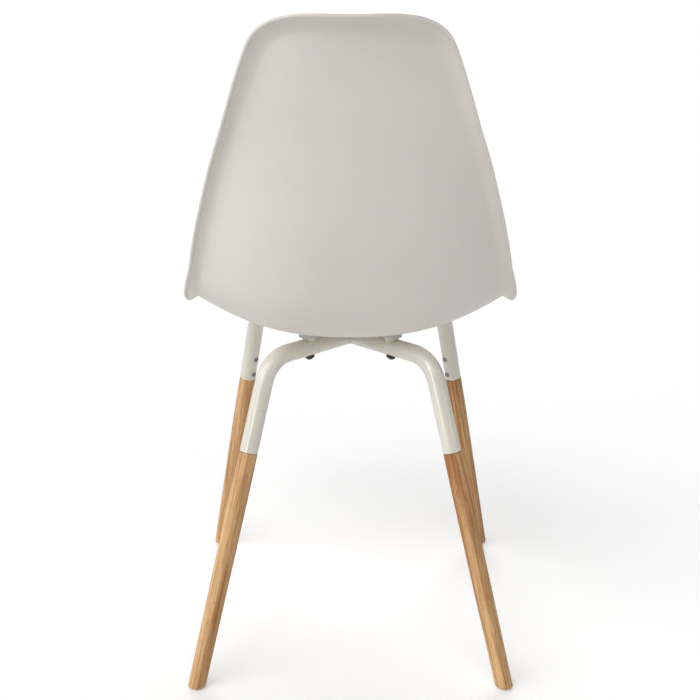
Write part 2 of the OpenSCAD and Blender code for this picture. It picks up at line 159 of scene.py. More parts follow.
class FrameSizes(bpy.types.PropertyGroup):
    """The bent tubes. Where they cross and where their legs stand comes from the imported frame."""

    tube_od: length("Tube diameter", "Outside diameter of the tubes", 0.0235)
    tube_wall: length("Tube wall", "Wall of the tubes", 0.0015)
    bend_radius: length("Bend radius", "On the centre line", 0.042)
    arm_turn: angle("Arm turn", "Direction of the arms, from the X axis", 45)
    rear_splay: angle("Rear splay", "Lean of the rear legs", 18.2)
    front_splay: angle("Front splay", "Lean of the front legs", 14.3)
    rear_drop: length("Rear drop", "From the corner down to a rear tube's open end", 0.1235)
    front_drop: length("Front drop", "From the corner down to a front tube's open end", 0.1185)
    weld_gap: length("Weld gap", "Between the mitred tubes", 0.0012)
    bead_radius: length("Bead radius", "Of the weld bead round each mitre", 0.0011)
    end_round: length("End rounding", "Of the tube's cut edges", 0.0006)
    ring_step: length("Ring step", "Between the rings of faces along a tube", 0.003)
    sides: count("Sides", "Faces round a tube", 64)


class LegSizes(bpy.types.PropertyGroup):
    """The turned wooden legs."""

    top_d: length("Top diameter", "Just below the tube", 0.0237)
    belly_d: length("Belly diameter", "Largest diameter", 0.0243)
    belly_at: length("Belly at", "Below the tube's end", 0.060)
    foot_d: length("Foot diameter", "At the floor", 0.0224)
    foot_round: length("Foot rounding", "Round the foot", 0.0018)
    joint_round: length("Joint rounding", "Of the shoulder against the tube", 0.0006)
    joint_gap: length("Joint gap", "Shadow line between the tube's end and the wood", 0.0006)
    spigot: length("Spigot", "Length of the part inside the tube", 0.056)
    spigot_play: length("Spigot play", "Clearance on diameter in the tube", 0.0003)
    ring_step: length("Ring step", "Between the rings of faces along a leg", 0.010)
    sides: count("Sides", "Faces round a leg", 64)


class FixingSizes(bpy.types.PropertyGroup):
    """Screws, bolts, washers, pads and inserts."""

    screw_first: length("First screw", "Above the tube's end", 0.010)
    screw_pitch: length("Screw pitch", "Between the two screws", 0.026)
    screw_d: length("Screw diameter", "Of the thread", 0.0036)
    screw_length: length("Screw length", "Under the head", 0.015)
    screw_head_d: length("Screw head diameter", "Of the domed head", 0.0076)
    screw_head_h: length("Screw head height", "Of the domed head", 0.0024)
    bolt_d: length("Bolt diameter", "Of the seat bolts", 0.006)
    bolt_play: length("Bolt play", "Clearance on diameter round the bolts", 0.0006)
    bolt_head_d: length("Bolt head diameter", "Of the seat bolts", 0.0105)
    bolt_head_h: length("Bolt head height", "Of the seat bolts", 0.0036)
    washer_d: length("Washer diameter", "Of the washers under the tubes", 0.014)
    washer_h: length("Washer height", "Below the tube", 0.002)
    pad_rise: length("Pad rise", "Of the saddle pads above the tube's crown", 0.0045)
    pad_wrap: length("Pad wrap", "Of the saddle pads down beside the crown", 0.003)
    pad_top_d: length("Pad top diameter", "Under the shell", 0.028)
    pad_foot_d: length("Pad foot diameter", "At the tube", 0.017)
    pad_round: length("Pad rounding", "Of the pads' upper edge", 0.0004)
    screw_play: length("Screw play", "Clearance on diameter in the tube's wall", 0.0002)
    screw_sink: length("Screw sink", "Of the head's edge below the tube's surface", 0.0007)
    screw_point: length("Screw point", "Length of the tapered end", 0.003)
    recess: length("Recess", "Depth of the cross in a screw's head", 0.0014)
    washer_wrap: length("Washer wrap", "Of the washers up beside the tube", 0.0022)
    bolt_chamfer: length("Bolt chamfer", "At the bolts' ends", 0.0006)
    bolt_short: length("Bolt short", "Of the bolts' ends below the inserts' top", 0.0005)
    insert_d: length("Insert diameter", "Of the threaded inserts", 0.010)
    insert_h: length("Insert height", "Of the threaded inserts", 0.005)


class Finishes(bpy.types.PropertyGroup):
    """The colours of the chair's materials."""

    shell: colour("Shell", "Moulded plastic of the shell", (0.735, 0.697, 0.642))
    pad: colour("Pad", "Plastic of the saddle pads", (0.74, 0.71, 0.665))
    lacquer: colour("Lacquer", "Powder coat of the tubes", (0.74, 0.705, 0.61))
    wood_light: colour("Light wood", "Early wood of the legs", (0.76, 0.49, 0.235))
    wood_dark: colour("Dark wood", "Late wood and streaks of the legs", (0.35, 0.135, 0.034))
    wood_fleck: colour("Fleck", "Short dark flecks in the wood", (0.13, 0.048, 0.016))
    # Darker than plain zinc: painted shade for the dark rings round the screw heads
    zinc_and_painted_shade: colour("Zinc", "Plated screws", (0.26, 0.255, 0.245))
    dark_zinc: colour("Dark zinc", "Plated bolts", (0.12, 0.12, 0.12))
    rubber: colour("Rubber", "Black washers", (0.012, 0.012, 0.012))
    brass: colour("Brass", "Threaded inserts", (0.62, 0.44, 0.18))
    nylon: colour("Nylon", "Floor glides", (0.28, 0.26, 0.235))


class StageSizes(bpy.types.PropertyGroup):
    """Camera, light and floor."""

    camera_back: length("Camera distance", "Behind the middle of the chair", 1.5342)
    camera_height: length("Camera height", "Above the floor", 0.8925)
    camera_tilt: angle("Camera tilt", "Down from level", 17.89)
    camera_shift: number("Camera shift", "Sideways, as a share of the picture's width", -0.0006)
    lens: number("Lens", "Focal length in millimetres on a 36 mm sensor", 60.9)
    light: number("Light", "Strength of all the soft lights", 1.0)
    softness: angle("Softness", "Width of the soft lights as the chair sees them", 50)
    shine: number("Shine", "Watts of each strip that shows only in glossy surfaces, per metre of its width", 80)
    strip_distance: length("Strip distance", "From the chair out to the strips", 2.5)
    strip_height: length("Strip height", "Of the strips, from the floor up", 2.2)
    floor: colour("Floor", "Pale floor", (0.90, 0.90, 0.90))
    floor_glow: number("Floor glow", "Added to the floor as the camera sees it", 0.20)


class ChairSettings(bpy.types.PropertyGroup):
    """All that a user may change."""

    shell: PointerProperty(type=ShellSizes)
    tubes: PointerProperty(type=FrameSizes)
    legs: PointerProperty(type=LegSizes)
    fixings: PointerProperty(type=FixingSizes)
    finishes: PointerProperty(type=Finishes)
    stage: PointerProperty(type=StageSizes)


def settings():
    """The chair's settings on the scene."""
    return bpy.context.scene.chair_settings


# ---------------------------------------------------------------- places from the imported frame


def middle(node):
    """The middle of a node's box."""
    low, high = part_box(node)
    return (low + high) / 2


def crossing():
    """The point where the tubes' centre lines cross."""
    return middle("centre_weld")


def arm_matrix(corner):
    """From an arm's own frame, x out along the arm and z up from the floor, to the chair's."""
    side, end = CORNERS[corner]
    turn = settings().tubes.arm_turn
    heading = math.atan2(end * math.sin(turn), side * math.cos(turn))
    place = crossing()
    return Matrix.Translation((place.x, place.y, 0)) @ Matrix.Rotation(heading, 4, "Z")


def splay(corner):
    """The lean of a corner's leg."""
    tubes = settings().tubes
    return tubes.rear_splay if CORNERS[corner][1] > 0 else tubes.front_splay


def drop(corner):
    """From the corner of a tube's centre line down to its open end."""
    tubes = settings().tubes
    return tubes.rear_drop if CORNERS[corner][1] > 0 else tubes.front_drop


def foot_height(corner):
    """The height of a leg's lower end above the floor."""
    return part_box("leg_" + corner)[0].z


def reach(corner):
    """From the crossing to the corner of a tube's centre line, worked out from where the foot stands."""
    foot = middle("glide_" + corner) - crossing()
    fall = crossing().z - foot_height(corner)
    return math.hypot(foot.x, foot.y) - fall * math.tan(splay(corner))


def leg_matrix(corner):
    """From a leg's own frame, origin on the corner of the centre lines and -z down the leg, to the chair's."""
    corner_place = Matrix.Translation((reach(corner), 0, crossing().z))
    return arm_matrix(corner) @ corner_place @ Matrix.Rotation(-splay(corner), 4, "Y")


def bolt_reach(corner):
    """From the crossing out to a corner's seat bolt."""
    place = middle("bolt_washer_" + corner) - crossing()
    return math.hypot(place.x, place.y)


# ---------------------------------------------------------------- mesh helpers


def new_object(name, data):
    """An object of that mesh, light or camera, linked to the scene."""
    piece = bpy.data.objects.new(name, data)
    bpy.context.scene.collection.objects.link(piece)
    return piece


def mesh_from(name, points, faces):
    """A mesh from points and faces."""
    mesh = bpy.data.meshes.new(name)
    mesh.from_pydata(points, [], faces)
    mesh.update()
    return mesh


def drop_object(piece):
    """Removes a helper object and its mesh."""
    mesh = piece.data
    bpy.data.objects.remove(piece)
    bpy.data.meshes.remove(mesh)


def settle(piece):
    """Turns an object's modifiers into a plain mesh."""
    bpy.context.view_layer.update()
    graph = bpy.context.evaluated_depsgraph_get()
    mesh = bpy.data.meshes.new_from_object(piece.evaluated_get(graph))
    piece.modifiers.clear()
    piece.data = mesh
    return piece


def combine(piece, tool, operation):
    """Cuts or joins a piece with a tool object, which is then removed."""
    boolean = piece.modifiers.new(operation.lower(), "BOOLEAN")
    boolean.operation = operation
    boolean.solver = "EXACT"
    boolean.object = tool
    settle(piece)
    drop_object(tool)
    return piece


def shade(piece, crease):
    """Smooth shading, with edges sharp where the faces turn by more than the crease, in degrees."""
    piece.data.shade_smooth()
    piece.data.set_sharp_from_angle(angle=math.radians(crease))
    return piece


def finish_piece(piece, material, nodes):
    """Gives a piece its material, its body and the nodes that it stands for."""
    piece.data.materials.clear()
    piece.data.materials.append(material)
    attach(piece, BODY)
    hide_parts(*nodes)


def rounded(outline, steps=5):
    """An outline with its corners rounded. A point is radius, height and, where rounded, corner radius."""
    path = []
    for i, (r, z, *corner) in enumerate(outline):
        here = Vector((r, z))
        if not corner:
            path.append(here)
            continue
        before = (Vector(outline[i - 1][:2]) - here).normalized()
        after = (Vector(outline[(i + 1) % len(outline)][:2]) - here).normalized()
        half = before.angle(after) / 2
        cut = corner[0] / math.tan(half)
        centre = here + (before + after).normalized() * corner[0] / math.sin(half)
        first = here + before * cut - centre
        last = here + after * cut - centre
        turn = first.angle_signed(last)
        for k in range(steps + 1):
            a = -turn * k / steps
            spoke = Vector(
                (
                    first.x * math.cos(a) - first.y * math.sin(a),
                    first.x * math.sin(a) + first.y * math.cos(a),
                )
            )
            path.append(centre + spoke)
    return path


def turned(name, path, sides, ring=False):
    """A closed solid turned round the z axis. A ring's path closes on itself; else it ends on the axis."""
    points, starts = [], []
    for p in path:
        starts.append(len(points))
        if p.x < 1e-7:
            points.append((0, 0, p.y))
        else:
            for k in range(sides):
                a = 2 * math.pi * k / sides
                points.append((p.x * math.cos(a), p.x * math.sin(a), p.y))
    sizes = [1 if p.x < 1e-7 else sides for p in path]
    faces = []
    spans = len(path) if ring else len(path) - 1
    for i in range(spans):
        j = (i + 1) % len(path)
        a, b = starts[i], starts[j]
        for k in range(sides):
            n = (k + 1) % sides
            if sizes[i] == 1 and sizes[j] == 1:
                continue
            if sizes[i] == 1:
                faces.append((a, b + k, b + n))
            elif sizes[j] == 1:
                faces.append((a + k, b, a + n))
            else:
                faces.append((a + k, b + k, b + n, a + n))
    mesh = mesh_from(name, points, faces)
    outwards(mesh)
    return new_object(name, mesh)


def outwards(mesh):
    """Turns the faces of a closed mesh outwards."""
    shape = bmesh.new()
    shape.from_mesh(mesh)
    bmesh.ops.recalc_face_normals(shape, faces=shape.faces)
    shape.to_mesh(mesh)
    shape.free()


def rod(name, diameter, low, high, sides, matrix):
    """A plain cylinder, used as a cutting tool, along the z axis of the matrix's frame."""
    path = [Vector((0, low)), Vector((diameter / 2, low)), Vector((diameter / 2, high)), Vector((0, high))]
    tool = turned(name, path, sides)
    tool.data.transform(matrix)
    return tool


# ---------------------------------------------------------------- node helpers


def put(tree, kind, inputs=None, **values):
    """Adds a node. Its inputs, by name or number, are linked to sockets and set to plain values."""
    node = tree.nodes.new(kind)
    for key, value in values.items():
        setattr(node, key, value)
    for key, value in (inputs or {}).items():
        socket = node.inputs[key]
        if isinstance(value, bpy.types.NodeSocket):
            tree.links.new(value, socket)
        else:
            socket.default_value = value
    return node


def maths(tree, operation, *values, clamp=False):
    """The result of a Math node."""
    return put(tree, "ShaderNodeMath", dict(enumerate(values)), operation=operation, use_clamp=clamp).outputs[0]


def vector_maths(tree, operation, *values):
    """The result of a Vector Math node."""
    node = put(tree, "ShaderNodeVectorMath", dict(enumerate(values)), operation=operation)
    return node.outputs["Vector"]


def geometry_tree(name, inputs):
    """A Geometry Nodes tree with named inputs. Returns the tree and its inputs' sockets by name."""
    tree = bpy.data.node_groups.new(name, "GeometryNodeTree")
    tree.interface.new_socket("Geometry", in_out="INPUT", socket_type="NodeSocketGeometry")
    for label, kind in inputs.items():
        tree.interface.new_socket(label, in_out="INPUT", socket_type="NodeSocket" + kind)
    tree.interface.new_socket("Geometry", in_out="OUTPUT", socket_type="NodeSocketGeometry")
    sockets = tree.nodes.new("NodeGroupInput").outputs
    return tree, {s.name: s for s in sockets if s.name}


def end_tree(tree, geometry, material):
    """Ends a tree: instances made real, and the material set."""
    real = put(tree, "GeometryNodeRealizeInstances", {"Geometry": geometry})
    finished = put(tree, "GeometryNodeSetMaterial", {"Geometry": real.outputs[0], "Material": material})
    put(tree, "NodeGroupOutput", {0: finished.outputs[0]})
    return tree


def grow(piece, tree, values):
    """Puts a tree on an object and sets its inputs, each by its socket's identifier."""
    modifier = piece.modifiers.new(tree.name, "NODES")
    modifier.node_group = tree
    identifiers = {
        item.name: item.identifier
        for item in tree.interface.items_tree
        if item.item_type == "SOCKET" and item.in_out == "INPUT"
    }
    for name, value in values.items():
        modifier[identifiers[name]] = value
    piece.update_tag()
    return piece


# Lengths and angles that the tree of a bent tube takes
TUBE_LENGTHS = (
    "Reach", "Height", "Splay", "Drop", "Radius", "Bend Radius", "Mitre Gap", "Mitre Length", "Ring Step"
)


def bent_tube_tree():
    """A tube along an arm, round a bend and down a leg, as one skin, mitred where the arms meet."""
    tree, given = geometry_tree(
        "bent_tube",
        dict.fromkeys(TUBE_LENGTHS, "Float") | {"Sides": "Int", "Material": "Material"},
    )
    corner = put(tree, "ShaderNodeCombineXYZ", {"X": given["Reach"], "Z": given["Height"]}).outputs[0]
    start = put(tree, "ShaderNodeCombineXYZ", {"Z": given["Height"]}).outputs[0]
    out = maths(tree, "MULTIPLY", maths(tree, "SINE", given["Splay"]), given["Drop"])
    down = maths(tree, "MULTIPLY", maths(tree, "COSINE", given["Splay"]), given["Drop"])
    fall = put(tree, "ShaderNodeCombineXYZ", {"X": out, "Z": maths(tree, "MULTIPLY", down, -1.0)}).outputs[0]
    end = vector_maths(tree, "ADD", corner, fall)
    line = put(
        tree,
        "GeometryNodeMeshLine",
        {"Count": 3, "Start Location": start, "Offset": end},
        mode="END_POINTS",
        count_mode="TOTAL",
    )
    index = put(tree, "GeometryNodeInputIndex").outputs[0]
    is_corner = put(tree, "FunctionNodeCompare", {2: index, 3: 1}, data_type="INT", operation="EQUAL")
    kinked = put(
        tree,
        "GeometryNodeSetPosition",
        {"Geometry": line.outputs[0], "Selection": is_corner.outputs[0], "Position": corner},
    )
    path = put(tree, "GeometryNodeMeshToCurve", {0: kinked.outputs[0]})
    bent = put(
        tree,
        "GeometryNodeFilletCurve",
        {"Curve": path.outputs[0], "Count": 48, "Radius": given["Bend Radius"]},
        mode="POLY",
    )
    even = put(
        tree,
        "GeometryNodeResampleCurve",
        {"Curve": bent.outputs[0], "Length": given["Ring Step"]},
        mode="LENGTH",
    )
    section = put(
        tree, "GeometryNodeCurvePrimitiveCircle", {"Resolution": given["Sides"], "Radius": given["Radius"]}
    )
    skin = put(
        tree, "GeometryNodeCurveToMesh", {"Curve": even.outputs[0], "Profile Curve": section.outputs[0]}
    )
    place = put(tree, "GeometryNodeInputPosition").outputs[0]
    parts = put(tree, "ShaderNodeSeparateXYZ", {0: place})
    cut = maths(tree, "ADD", maths(tree, "ABSOLUTE", parts.outputs["Y"]), given["Mitre Gap"])
    share = maths(tree, "DIVIDE", parts.outputs["X"], given["Mitre Length"])
    near = maths(tree, "SUBTRACT", 1.0, share, clamp=True)
    shift = put(tree, "ShaderNodeCombineXYZ", {"X": maths(tree, "MULTIPLY", cut, near)}).outputs[0]
    mitred = put(tree, "GeometryNodeSetPosition", {"Geometry": skin.outputs[0], "Offset": shift})
    return end_tree(tree, mitred.outputs[0], given["Material"])


def weld_bead_tree():
    """Two rippled beads, each round the ellipse in which the mitred tubes meet."""
    tree, given = geometry_tree(
        "weld_bead",
        {
            "Crossing": "Vector",
            "Tube Radius": "Float",
            "Bead Radius": "Float",
            "Ripple": "Float",
            "Seed": "Float",
            "Material": "Material",
        },
    )
    circle = put(tree, "GeometryNodeCurvePrimitiveCircle", {"Resolution": 192, "Radius": 1.0})
    place = put(tree, "GeometryNodeInputPosition").outputs[0]
    parts = put(tree, "ShaderNodeSeparateXYZ", {0: place})
    across = maths(tree, "MULTIPLY", given["Tube Radius"], math.sqrt(2))
    ellipse = put(
        tree,
        "ShaderNodeCombineXYZ",
        {
            "Y": maths(tree, "MULTIPLY", parts.outputs["X"], across),
            "Z": maths(tree, "MULTIPLY", parts.outputs["Y"], given["Tube Radius"]),
        },
    )
    path = put(tree, "GeometryNodeSetPosition", {"Geometry": circle.outputs[0], "Position": ellipse.outputs[0]})
    section = put(tree, "GeometryNodeCurvePrimitiveCircle", {"Resolution": 12, "Radius": given["Bead Radius"]})
    bead = put(
        tree, "GeometryNodeCurveToMesh", {"Curve": path.outputs[0], "Profile Curve": section.outputs[0]}
    )
    turned_bead = put(
        tree, "GeometryNodeTransform", {"Geometry": bead.outputs[0], "Rotation": (0, 0, math.pi / 2)}
    )
    both = put(tree, "GeometryNodeJoinGeometry")
    tree.links.new(bead.outputs[0], both.inputs[0])
    tree.links.new(turned_bead.outputs[0], both.inputs[0])
    waves = put(
        tree,
        "ShaderNodeTexNoise",
        {"Vector": put(tree, "GeometryNodeInputPosition").outputs[0], "W": given["Seed"], "Scale": 420.0},
        noise_dimensions="4D",
    )
    height = maths(tree, "MULTIPLY", maths(tree, "SUBTRACT", waves.outputs[0], 0.5), given["Ripple"])
    normal = put(tree, "GeometryNodeInputNormal").outputs[0]
    offset = put(
        tree, "ShaderNodeVectorMath", {0: normal, "Scale": height}, operation="SCALE"
    ).outputs["Vector"]
    rippled = put(tree, "GeometryNodeSetPosition", {"Geometry": both.outputs[0], "Offset": offset})
    placed = put(
        tree, "GeometryNodeTransform", {"Geometry": rippled.outputs[0], "Translation": given["Crossing"]}
    )
    return end_tree(tree, placed.outputs[0], given["Material"])


def set_out_tree():
    """One piece set out at each point, turned as the point's attribute says and spun a little by chance."""
    tree, given = geometry_tree(
        "set_out", {"Piece": "Object", "Spin": "Float", "Seed": "Int", "Material": "Material"}
    )
    piece = put(tree, "GeometryNodeObjectInfo", {"Object": given["Piece"]}, transform_space="ORIGINAL")
    turn = put(tree, "GeometryNodeInputNamedAttribute", {"Name": "turn"}, data_type="FLOAT_VECTOR")
    rotation = put(tree, "FunctionNodeEulerToRotation", {0: turn.outputs[0]})
    copies = put(
        tree,
        "GeometryNodeInstanceOnPoints",
        {"Points": given["Geometry"], "Instance": piece.outputs["Geometry"], "Rotation": rotation.outputs[0]},
    )
    chance = put(
        tree,
        "FunctionNodeRandomValue",
        {2: maths(tree, "MULTIPLY", given["Spin"], -1.0), 3: given["Spin"], "Seed": given["Seed"]},
        data_type="FLOAT",
    )
    spin = put(tree, "ShaderNodeCombineXYZ", {"Z": chance.outputs[1]})
    spin_rotation = put(tree, "FunctionNodeEulerToRotation", {0: spin.outputs[0]})
    spun = put(
        tree,
        "GeometryNodeRotateInstances",
        {"Instances": copies.outputs[0], "Rotation": spin_rotation.outputs[0], "Local Space": True},
    )
    return end_tree(tree, spun.outputs[0], given["Material"])


def set_out(name, pattern, matrices, material, spin=0.0, seed=1):
    """Copies of a pattern piece at some places, as one mesh. The pattern is then removed."""
    places = mesh_from(name, [m.translation for m in matrices], [])
    turns = places.attributes.new("turn", "FLOAT_VECTOR", "POINT")
    for item, matrix in zip(turns.data, matrices):
        item.vector = matrix.to_euler("XYZ")
    piece = new_object(name, places)
    grow(piece, set_out_tree(), {"Piece": pattern, "Spin": spin, "Seed": seed, "Material": material})
    settle(piece)
    drop_object(pattern)
    return piece


# ---------------------------------------------------------------- materials


def new_material(name):
    """A new material. Returns it, its tree, its Principled shader and its object coordinates."""
    material = bpy.data.materials.new(name)
    material.use_nodes = True
    tree = material.node_tree
    tree.nodes.clear()
    shader = put(tree, "ShaderNodeBsdfPrincipled")
    put(tree, "ShaderNodeOutputMaterial", {"Surface": shader.outputs[0]})
    place = put(tree, "ShaderNodeTexCoord").outputs["Object"]
    return material, tree, shader, place


def noise(tree, place, scale, detail=2.0, roughness=0.5, distortion=0.0):
    """The value of a noise texture."""
    return put(
        tree,
        "ShaderNodeTexNoise",
        {
            "Vector": place,
            "Scale": scale,
            "Detail": detail,
            "Roughness": roughness,
            "Distortion": distortion,
        },
    ).outputs[0]


def between(tree, value, low, high, to_low=0.0, to_high=1.0):
    """A value moved from one range to another and kept in it."""
    inputs = {"Value": value, "From Min": low, "From Max": high, "To Min": to_low, "To Max": to_high}
    return put(tree, "ShaderNodeMapRange", inputs).outputs[0]


def mixed(tree, share, first, second):
    """Two colours mixed."""
    node = put(tree, "ShaderNodeMix", data_type="RGBA")
    sockets = {0: share, 6: first, 7: second}
    for key, value in sockets.items():
        if isinstance(value, bpy.types.NodeSocket):
            tree.links.new(value, node.inputs[key])
        elif key == 0:
            node.inputs[key].default_value = value
        else:
            node.inputs[key].default_value = (*value, 1.0)
    return node.outputs[2]


def scaled(tint, factor):
    """A colour made lighter or darker."""
    return tuple(min(c * factor, 1.0) for c in tint)


def bump(tree, shader, height, distance):
    """Gives a shader bumps of that height in metres."""
    node = put(tree, "ShaderNodeBump", {"Height": height, "Distance": distance, "Strength": 1.0})
    tree.links.new(node.outputs[0], shader.inputs["Normal"])


def moulded_plastic(name, tint, roughness, grain):
    """Satin moulded plastic: faint clouds of colour, a fine leathery grain and a slightly uneven sheen."""
    material, tree, shader, place = new_material(name)
    clouds = noise(tree, place, 7.0, 3.0, 0.55)
    base = mixed(tree, between(tree, clouds, 0.3, 0.7), scaled(tint, 0.965), scaled(tint, 1.025))
    warmth = noise(tree, place, 3.1, 1.0)
    warm = (tint[0] * 1.012, tint[1] * 0.99, tint[2] * 0.985)
    base = mixed(tree, between(tree, warmth, 0.35, 0.75, 0.0, 0.7), base, warm)
    tree.links.new(base, shader.inputs["Base Color"])
    cells = put(
        tree,
        "ShaderNodeTexVoronoi",
        {"Vector": place, "Scale": 620.0, "Smoothness": 0.7},
        feature="SMOOTH_F1",
    ).outputs[0]
    speckle = noise(tree, place, 1500.0, 2.0)
    ripple = noise(tree, place, 270.0, 3.0, 0.6)
    height = maths(tree, "ADD", cells, maths(tree, "MULTIPLY", speckle, 0.45))
    height = maths(tree, "ADD", height, maths(tree, "MULTIPLY", ripple, 2.2))
    bump(tree, shader, height, grain)
    uneven = noise(tree, place, 36.0, 4.0)
    gloss = between(tree, uneven, 0.3, 0.7, roughness - 0.05, roughness + 0.06)
    tree.links.new(gloss, shader.inputs["Roughness"])
    shader.inputs["IOR"].default_value = 1.49
    shader.inputs["Subsurface Weight"].default_value = 0.05
    shader.inputs["Subsurface Radius"].default_value = (0.004, 0.003, 0.002)
    shader.inputs["Subsurface Scale"].default_value = 1.0
    return material


def powder_coat(name, tint):
    """Cream powder coat: a soft gloss over a fine orange peel, with faint dust marks."""
    material, tree, shader, place = new_material(name)
    clouds = noise(tree, place, 14.0, 3.0)
    base = mixed(tree, between(tree, clouds, 0.3, 0.7), scaled(tint, 0.96), scaled(tint, 1.02))
    dust = between(tree, noise(tree, place, 240.0, 5.0, 0.7), 0.62, 0.80, 0.0, 0.25)
    base = mixed(tree, dust, base, scaled(tint, 0.72))
    tree.links.new(base, shader.inputs["Base Color"])
    peel = noise(tree, place, 380.0, 2.0)
    fine = maths(tree, "MULTIPLY", noise(tree, place, 1300.0, 1.0), 0.3)
    bump(tree, shader, maths(tree, "ADD", peel, fine), 0.00003)
    gloss = between(tree, noise(tree, place, 60.0, 4.0), 0.3, 0.7, 0.26, 0.36)
    tree.links.new(gloss, shader.inputs["Roughness"])
    shader.inputs["Coat Weight"].default_value = 0.7
    shader.inputs["Coat Roughness"].default_value = 0.10
    return material


def beech(name, finishes):
    """Beech with a thin matt lacquer: streaks and short flecks along the leg, which has its own coordinates."""
    material, tree, shader, _ = new_material(name)
    grain = put(tree, "ShaderNodeAttribute", attribute_name="grain").outputs["Vector"]

    def stretched(across, along):
        return put(tree, "ShaderNodeMapping", {"Vector": grain, "Scale": (across, across, along)}).outputs[0]

    bands = noise(tree, stretched(1.0, 0.035), 95.0, 3.0, 0.55, 0.6)
    streaks = noise(tree, stretched(1.0, 0.03), 420.0, 4.0, 0.6, 0.3)
    broad = noise(tree, stretched(1.0, 0.12), 30.0, 2.0)
    flecks = noise(tree, stretched(1.0, 0.085), 820.0, 2.0, 0.5)
    pores = noise(tree, stretched(1.0, 0.05), 1900.0, 1.0, 0.5)
    tone = maths(
        tree,
        "ADD",
        maths(tree, "MULTIPLY", between(tree, bands, 0.40, 0.62), 0.48),
        maths(tree, "MULTIPLY", between(tree, streaks, 0.42, 0.62), 0.42),
    )
    tone = maths(tree, "ADD", tone, between(tree, broad, 0.35, 0.65, -0.22, 0.26))
    # Each leg's own tone: partly the wood's tone, partly painted shade on the legs away from the key light
    own = put(tree, "ShaderNodeAttribute", attribute_name="tone").outputs["Fac"]
    tone = maths(tree, "ADD", tone, own, clamp=True)
    base = mixed(tree, tone, tuple(finishes.wood_light), tuple(finishes.wood_dark))
    fleck_share = between(tree, flecks, 0.62, 0.74, 0.0, 0.62)
    base = mixed(tree, fleck_share, base, tuple(finishes.wood_fleck))
    base = mixed(tree, between(tree, pores, 0.60, 0.75, 0.0, 0.30), base, tuple(finishes.wood_fleck))
    tree.links.new(base, shader.inputs["Base Color"])
    depth = maths(tree, "SUBTRACT", maths(tree, "MULTIPLY", streaks, 0.4), fleck_share)
    bump(tree, shader, depth, 0.00007)
    gloss = between(tree, streaks, 0.3, 0.7, 0.46, 0.60)
    tree.links.new(gloss, shader.inputs["Roughness"])
    shader.inputs["Specular IOR Level"].default_value = 0.35
    return material


def plated_steel(name, tint, roughness):
    """Plated steel: fine turning marks and small dull stains."""
    material, tree, shader, place = new_material(name)
    stains = noise(tree, place, 600.0, 4.0, 0.6)
    base = mixed(tree, between(tree, stains, 0.35, 0.7), scaled(tint, 1.1), scaled(tint, 0.75))
    tree.links.new(base, shader.inputs["Base Color"])
    shader.inputs["Metallic"].default_value = 1.0
    gloss = between(tree, stains, 0.3, 0.7, roughness - 0.06, roughness + 0.1)
    tree.links.new(gloss, shader.inputs["Roughness"])
    bump(tree, shader, noise(tree, place, 2600.0, 2.0), 0.00001)
    return material


def black_rubber(name, tint):
    """Moulded black rubber: matt, with a little dust."""
    material, tree, shader, place = new_material(name)
    dust = between(tree, noise(tree, place, 500.0, 4.0, 0.7), 0.5, 0.8, 0.0, 0.35)
    tree.links.new(mixed(tree, dust, tint, scaled(tint, 4.0)), shader.inputs["Base Color"])
    tree.links.new(between(tree, dust, 0.0, 0.35, 0.55, 0.75), shader.inputs["Roughness"])
    bump(tree, shader, noise(tree, place, 1800.0, 2.0), 0.00002)
    return material


# ---------------------------------------------------------------- the shell


def ease(t):
    """From 0 to 1 with a gentle start and end."""
    return (1 - math.cos(math.pi * min(max(t, 0.0), 1.0))) / 2


def walk(distance, run):
    """Along, up and slope after a distance on a run of arcs, each given as length and turn."""
    along = up = slope = 0.0
    for arc, turn in run:
        step = min(distance, arc)
        if step <= 0:
            break
        if abs(turn) < 1e-9:
            along += step * math.cos(slope)
            up += step * math.sin(slope)
        else:
            radius = arc / turn
            after = slope + step / radius
            along += radius * (math.sin(after) - math.sin(slope))
            up += radius * (math.cos(slope) - math.cos(after))
            slope = after
        distance -= step
    return along, up, slope


